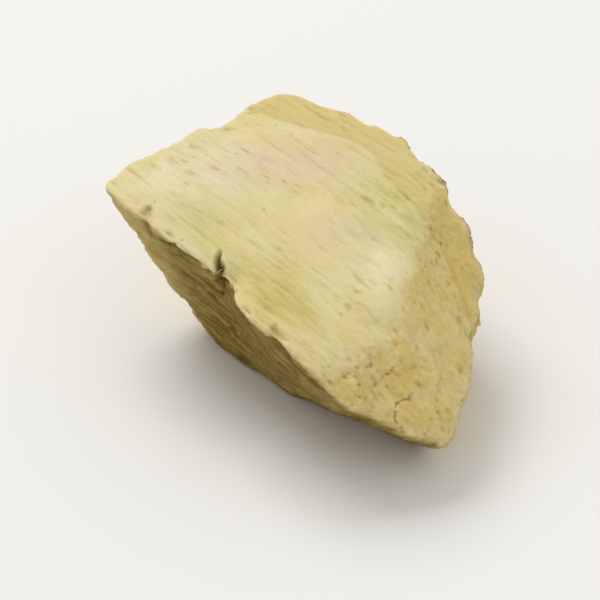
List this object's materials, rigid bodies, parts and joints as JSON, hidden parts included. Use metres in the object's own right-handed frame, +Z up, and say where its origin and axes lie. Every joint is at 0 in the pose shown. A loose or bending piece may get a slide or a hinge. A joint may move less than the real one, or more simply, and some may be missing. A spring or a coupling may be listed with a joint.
{
  "type": "dried ginger root chip",
  "caption": "Small chip of dried ginger root, cut from a rhizome: flat knife-cut faces, a wrinkled skin side and a small flat base to rest on.",
  "frame": {"origin": "on the surface that the chip rests on, under the middle of its bounding box", "axes": "+X along the chip's length, +Y towards its skin side, +Z up from its resting flat to its broad cut face"},
  "size_m": [0.0154, 0.011, 0.0068],
  "materials": {
    "ginger_flesh": "matt dried root: pale cream cut faces with fibre streaks and pits, tan wrinkled skin on the far side"
  },
  "bodies": {
    "root": {"ginger_chip": "ginger_flesh"}
  },
  "joints": []
}
